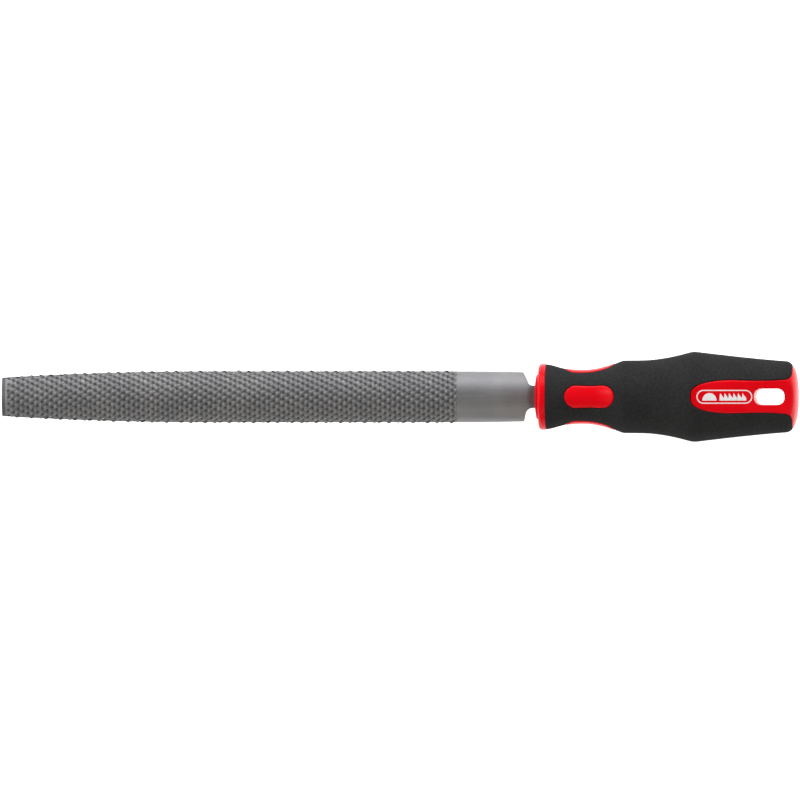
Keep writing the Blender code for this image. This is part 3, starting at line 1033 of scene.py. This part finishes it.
def printed_mark():
    """A generic print on the tongue: in a frame, the blade's half-round section and a row of teeth."""
    base = -MARK_HEIGHT / 2
    radius = MARK_SECTION / 2
    middle = MARK_START + MARK_WIDTH / 2 + radius - MARK_LINE
    section = arc((middle, base), (radius, MARK_HEIGHT), 0, 180, 20)
    row = tooth_row(middle + radius + MARK_SPACE, base)
    outer, inner = mark_frame(0), mark_frame(MARK_LINE)
    count = len(outer)
    points = [*on_tongue(outer + inner, -MARK_SUNK), *on_tongue(outer + inner, MARK_PROUD)]
    faces = []
    for first, second in ((0, 1), (2, 3), (0, 2), (1, 3)):
        faces += between(first * count, second * count, count)
    for outline in (section, row):
        low, count = len(points), len(outline)
        high = low + count
        points += on_tongue(outline, -MARK_SUNK) + on_tongue(outline, MARK_PROUD)
        faces += [range(low, high), range(high, high + count), *between(low, high, count)]
    return piece("printed_mark", points, faces)


# ---------------------------------------------------------------- studio


# The tool lies on the ridge of its handle and the end of its blade, so the floor slopes in its frame.
RIDGE_X = 263.0
REST_SLOPE = math.atan2(RIDGE_RADIUS - FLAT_DROP - TOOTH_RISE, RIDGE_X)
UP = Vector((math.sin(REST_SLOPE), 0, math.cos(REST_SLOPE)))
FLOOR_REACH = 4
FLOOR_WHITE = 0.95
FLOOR_GLOW = 0.95


def floor():
    """A glowing white sheet that the tool lies on."""
    mesh = bpy.data.meshes.new("floor")
    along = Vector((math.cos(REST_SLOPE), 0, -math.sin(REST_SLOPE))) * FLOOR_REACH
    across = Vector((0, FLOOR_REACH, 0))
    middle = ORIGIN + Vector((RIDGE_X, 0, 0)) * MM - UP * RIDGE_RADIUS * MM
    corners = [middle + along * a + across * b for a, b in ((-1, -1), (1, -1), (1, 1), (-1, 1))]
    mesh.from_pydata(corners, [], [range(4)])
    made = bpy.data.objects.new("floor", mesh)
    bpy.context.scene.collection.objects.link(made)
    look, _, shader = new_look("white_sweep")
    shader.inputs["Base Color"].default_value = (FLOOR_WHITE, FLOOR_WHITE, FLOOR_WHITE, 1)
    shader.inputs["Roughness"].default_value = 0.9
    shader.inputs["Emission Color"].default_value = (1, 1, 1, 1)
    shader.inputs["Emission Strength"].default_value = FLOOR_GLOW
    mesh.materials.append(look)


def lamp(name, azimuth, height, distance, size, watts, colour):
    """A soft box that faces the tool. Azimuth 0 is on the picture's right and 90 at its top."""
    light = bpy.data.lights.new(name, "AREA")
    light.shape = "RECTANGLE"
    light.size, light.size_y = size
    light.energy = watts
    light.color = colour
    made = bpy.data.objects.new(name, light)
    out, up = math.cos(math.radians(height)), math.sin(math.radians(height))
    turn = math.radians(azimuth)
    made.location = distance * Vector((math.cos(turn) * out, math.sin(turn) * out, up))
    made.rotation_euler = made.location.to_track_quat("Z", "Y").to_euler()
    bpy.context.scene.collection.objects.link(made)


def sky():
    """A studio that is dim overhead and brighter towards the horizon."""
    world = bpy.data.worlds.new("studio")
    world.use_nodes = True
    tree = world.node_tree
    direction = node(tree, "ShaderNodeTexCoord").outputs["Generated"]
    height = node(tree, "ShaderNodeSeparateXYZ", {0: direction}).outputs["Z"]
    shade = greys(tree, height, (0.0, 0.42), (0.6, 0.25), (0.95, 0.14))
    tree.links.new(shade, tree.nodes["Background"].inputs["Color"])
    bpy.context.scene.world = world


def studio():
    """The sky and five soft boxes."""
    sky()
    bpy.context.scene.view_settings.view_transform = "Standard"
    lamp("top_box", 90, 27, 0.8, (1.3, 0.5), 7.0, (0.94, 0.95, 1.0))
    lamp("bottom_box", 270, 40, 0.9, (1.2, 0.5), 1.8, (1.0, 0.96, 0.86))
    lamp("right_box", 0, 35, 0.9, (0.5, 0.9), 1.6, (1.0, 1.0, 1.0))
    lamp("left_box", 180, 30, 0.9, (0.5, 0.9), 2.4, (1.0, 1.0, 1.0))
    lamp("spot_box", 150, 50, 0.8, (0.14, 0.14), 0.8, (1.0, 1.0, 1.0))


def camera():
    """A long lens straight over the tool, square to the floor."""
    data = bpy.data.cameras.new("camera")
    data.lens = CAMERA_LENS
    data.sensor_width = CAMERA_SENSOR
    distance = CAMERA_LENS / CAMERA_SENSOR * VIEW_WIDTH * MM
    data.clip_end = 2 * distance
    made = bpy.data.objects.new("camera", data)
    centre = ORIGIN + Vector((TOTAL_LENGTH / 2, VIEW_CENTRE_Y, 0)) * MM
    made.location = centre + UP * distance
    made.rotation_euler = (0, REST_SLOPE, 0)
    bpy.context.scene.collection.objects.link(made)
    bpy.context.scene.camera = made


blade, core, grip, bush, mark = rasp_blade(), hard_core(), soft_grip(), front_bush(), printed_mark()
red = red_plastic("red_hard_plastic", (0.74, 0.001, 0.006), (0.82, 0.003, 0.010), 0.2, 1.2)
# The bush's red is the core's red darkened as painted shade; it is also rougher, with a lower IOR.
painted_shade_red = red_plastic("red_bush_plastic_painted_darker", (0.56, 0.002, 0.008), (0.62, 0.004, 0.012), 0.4, 1.1)
for made, look, slot, cad_nodes in (
    (blade, steel(), "tool_steel", ["rasp_blade"]),
    (core, red, "red_plastic", ["handle_core"]),
    (grip, black_grip(), "black_grip", ["soft_grip"]),
    (bush, painted_shade_red, "bush_plastic", ["tang_bush"]),
    (mark, white_ink(), "white_print", []),
):
    made.data.materials.clear()
    made.data.materials.append(look)
    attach(made, "root")
    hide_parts(*cad_nodes)

floor()
studio()
camera()
